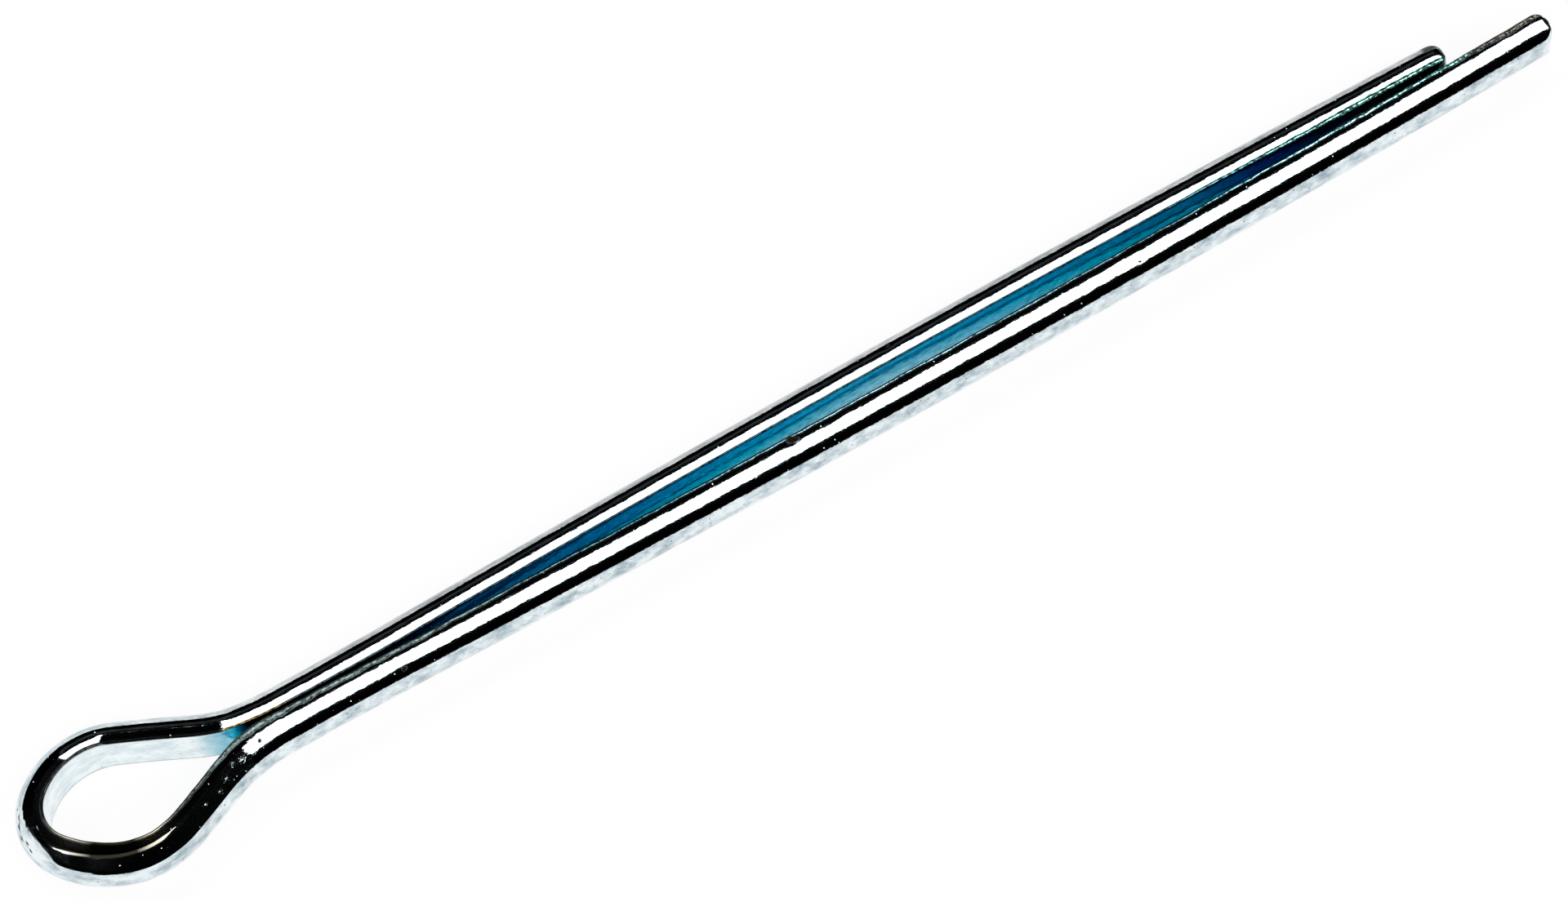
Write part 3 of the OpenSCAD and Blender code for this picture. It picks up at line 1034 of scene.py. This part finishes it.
# %% Grain and pits
# Sizes and depths in mm
GRAIN_SIZE, GRAIN_DEPTH, PRESSED_GRAIN = 0.5, 0.012, 0.4
GRIT_SIZE, GRIT_DEPTH, SCAR_GRIT, SCAR_SPAN = 0.16, 0.0015, 0.020, (0.2, 1.0)
PIT_CELL, PIT_R, PIT_DEPTH = 0.47, 0.040, 0.020
PIT_CHOSEN, MORE_PITS, PITS_BELOW = (0.66, 0.70), 0.35, (1.45, 1.55)

grain = zinc.grain(drawn, GRAIN_SIZE, detail=2.0, rough=0.5)
grit = zinc.grain(wire, GRIT_SIZE, detail=2.0, rough=0.6)
grain_span = (GRAIN_DEPTH * MM, PRESSED_GRAIN * GRAIN_DEPTH * MM)
grain_depth = zinc.reach(zinc.kind("pressed"), 0.0, 1.0, *grain_span)
grit_depth = zinc.reach(zinc.kind("scar"), *SCAR_SPAN, GRIT_DEPTH * MM, SCAR_GRIT * MM)
pit_distance, pit_number = zinc.cells(wire, PIT_CELL)
pit_number = zinc.sum("ADD", pit_number, zinc.reach(up_wire, *PITS_BELOW, MORE_PITS, 0.0))
pit = zinc.reach(pit_distance, 0.0, PIT_R, 1.0, 0.0)
pit = zinc.sum("MULTIPLY", pit, zinc.reach(pit_number, *PIT_CHOSEN))
height = zinc.sum("MULTIPLY", grain, grain_depth)
height = zinc.sum("MULTIPLY_ADD", grit, grit_depth, height)
height = zinc.sum("MULTIPLY_ADD", pit, -PIT_DEPTH * MM, height)
bump = zinc.node("Bump", {"Strength": 1.0, "Distance": 1.0, "Height": height}).outputs[0]
shader = zinc.node(
    "BsdfPrincipled",
    {
        "Base Color": colour,
        "Metallic": 1.0,
        "Roughness": roughness,
        "Specular Tint": edge_tint,
        "Normal": bump,
    },
)
pin_mesh.materials.append(zinc.finish(shader))
print("nodes in the zinc:", len(zinc.tree.nodes))

# %% [markdown]
# ## A pale floor
# The pin lies on a floor at the height of its own lowest point. Most of the
# floor's brightness, as the camera or a reflection sees it, is its own plain
# white, and the rest is light that falls on it, so that it keeps the pin's
# shadow. A lit floor alone would need brighter lamps to look white, and they
# would wash out the metal.

# %% Floor
FLOOR_HALF = 4.0
OWN_WHITE = 0.92
FLOOR_PAINT = (0.9, 0.9, 0.9, 1.0)
floor_z = cad_low.z

floor_mesh = bpy.data.meshes.new("floor")
floor_signs = ((-1, -1), (1, -1), (1, 1), (-1, 1))
floor_verts = [(FLOOR_HALF * x, FLOOR_HALF * y, floor_z) for x, y in floor_signs]
floor_mesh.from_pydata(floor_verts, [], [(0, 1, 2, 3)])
floor = bpy.data.objects.new("floor", floor_mesh)
bpy.context.scene.collection.objects.link(floor)

white = Paint("white_floor")
ray = white.node("LightPath", {}).outputs
seen = white.sum("ADD", ray["Is Camera Ray"], ray["Is Glossy Ray"])
seen = white.sum("ADD", seen, ray["Is Transmission Ray"], clamp=True)
lit = white.node("BsdfDiffuse", {"Color": FLOOR_PAINT})
own = white.node("Emission", {"Strength": 1.0})
own_share = white.sum("MULTIPLY", seen, OWN_WHITE)
both = white.node("MixShader", {0: own_share, 1: lit.outputs[0], 2: own.outputs[0]})
floor_mesh.materials.append(white.finish(both))
print("floor at z in mm:", round(floor_z / MM, 3))

# %% [markdown]
# ## Cloth for a tent
# Polished metal shows what stands around it, so the room is the finish. Area
# lamps would do for the light, but glowing panels are exact about where each
# highlight starts and ends. They hang on a half cylinder over the pin, its axis
# along the shank. An angle on it is counted from the near horizon, over the top,
# to the far one. The camera doesn't see the tent.

# %% Ways to hang cloth
TENT_R, INNER_R = 1.0, 0.98
ARC_STEP = 3


def glowing(name, strength):
    """A material that gives off plain white light, or none."""
    cloth = Paint(name)
    return cloth.finish(cloth.node("Emission", {"Strength": strength}))


def hung(name, verts, polygons, material):
    """A piece of the tent, which the camera doesn't see."""
    mesh = bpy.data.meshes.new(name)
    mesh.from_pydata(verts, [], polygons)
    mesh.materials.append(material)
    cloth = bpy.data.objects.new(name, mesh)
    bpy.context.scene.collection.objects.link(cloth)
    cloth.visible_camera = False
    return cloth


def on_tent(degrees, x, radius=TENT_R):
    """A point of the tent at an angle, at a place along the pin."""
    return (x, -radius * cos_of(degrees), floor_z + radius * sin_of(degrees))


def panel(name, start, stop, material, ends, radius=INNER_R):
    """A strip of the tent between two angles."""
    arc = np.linspace(start, stop, math.ceil((stop - start) / ARC_STEP) + 1)
    verts = [on_tent(degrees, x, radius) for degrees in arc for x in ends]
    strips = [(i, i + 1, i + 3, i + 2) for i in range(0, len(verts) - 2, 2)]
    hung(name, verts, strips, material)


print("tent radius in m:", TENT_R)

# %% [markdown]
# ## A black tent with two soft boxes
# Under the black cloth, a long soft box on each side gives each leg one white
# band between two black ones. The near box goes on to the left as a narrower
# strip, and a faint grey strip hangs low on the far side. The right end is
# closed. The left one has a low doorway towards the far side, and the far foot
# stops short beside it, so that the pale room lights the eye's end.

# %% Tent
TENT_HALF, SOFT_HALF, GREY_HALF = 1.6, 1.1, 0.5
LEFT_FROM, FOOT_LEFT = 0.85, 1.25
LAMP, FAINT = 3.2, 0.03
RIGHT_STEP, LEFT_STEP = 5, 7
# The angle where the left end's cloth leaves the arc, and the doorway's edge from
# there to the floor, as Y and height in metres
DOORWAY_TOP = 154
DOORWAY = (
    (0.80, 0.42), (0.45, 0.50), (0.1, 0.56), (-0.20, 0.56), (-0.34, 0.48), (-0.46, 0.38),
    (-0.60, 0.0),
)

black, soft = glowing("black_cloth", 0.0), glowing("soft_box", LAMP)
faint = glowing("grey_cloth", FAINT)
panel("black_tent", 0.5, 160, black, (-TENT_HALF, TENT_HALF), TENT_R)
panel("black_far_foot", 160, 179.5, black, (-FOOT_LEFT, TENT_HALF), TENT_R)
panel("soft_box_near", 36, 75, soft, (-LEFT_FROM, SOFT_HALF))
panel("soft_box_left", 50, 75, soft, (-TENT_HALF, -LEFT_FROM))
panel("soft_box_far", 117, 144, soft, (-SOFT_HALF, SOFT_HALF))
panel("grey_far", 157, 168, faint, (-GREY_HALF, GREY_HALF))
right_end = [on_tent(degrees, TENT_HALF) for degrees in range(0, 181, RIGHT_STEP)]
left_end = [on_tent(degrees, -TENT_HALF) for degrees in range(0, DOORWAY_TOP + 1, LEFT_STEP)]
left_end += [(-TENT_HALF, y, floor_z + z) for y, z in DOORWAY]
for name, end in (("black_left_end", left_end), ("black_right_end", right_end)):
    hung(name, end, [tuple(range(len(end)))], black)
print("tent panels up to", TENT_HALF, "m to each side")

# %% [markdown]
# ## Low black cards
# In a studio, strips of black card stand just outside the view, so that a shiny
# thing gets a dark outline against a white floor. Here they are little higher
# than the pin and stand two centimetres from it, on every side but the eye's.
# Only reflections see them, so they cast no shadow.

# %% Low cards
CARD_AWAY, CARD_HEIGHT = 20 * MM, 4.2 * MM
card_x = (cad_low.x - CARD_AWAY, cad_high.x + CARD_AWAY)
card_y = (cad_low.y - CARD_AWAY, cad_high.y + CARD_AWAY)
card_corners = [(card_x[i], card_y[j]) for i, j in ((0, 0), (1, 0), (1, 1), (0, 1))]
card_verts = [(x, y, floor_z + height) for height in (0, CARD_HEIGHT) for x, y in card_corners]
card_faces = [(i, i + 1, i + 5, i + 4) for i in range(3)]
cards = hung("low_black_cards", card_verts, card_faces, black)
cards.visible_diffuse = cards.visible_shadow = False
print("cards' corners in mm:", [round(v / MM, 1) for v in (*card_corners[0], *card_corners[2])])

# %% [markdown]
# ## The room behind the tent
# The world is plain white at a strength of one. It comes in through the tent's
# doorway, and low views see it past the tent.

# %% World
world = bpy.data.worlds.new("pale_room")
world.use_nodes = True
background = world.node_tree.nodes["Background"]
background.inputs["Color"].default_value = (1.0, 1.0, 1.0, 1.0)
background.inputs["Strength"].default_value = 1.0
bpy.context.scene.world = world
bpy.context.scene.view_settings.view_transform = "Standard"
print("world:", world.name)

# %% [markdown]
# The dressed pin has to stay inside the packed one's box.
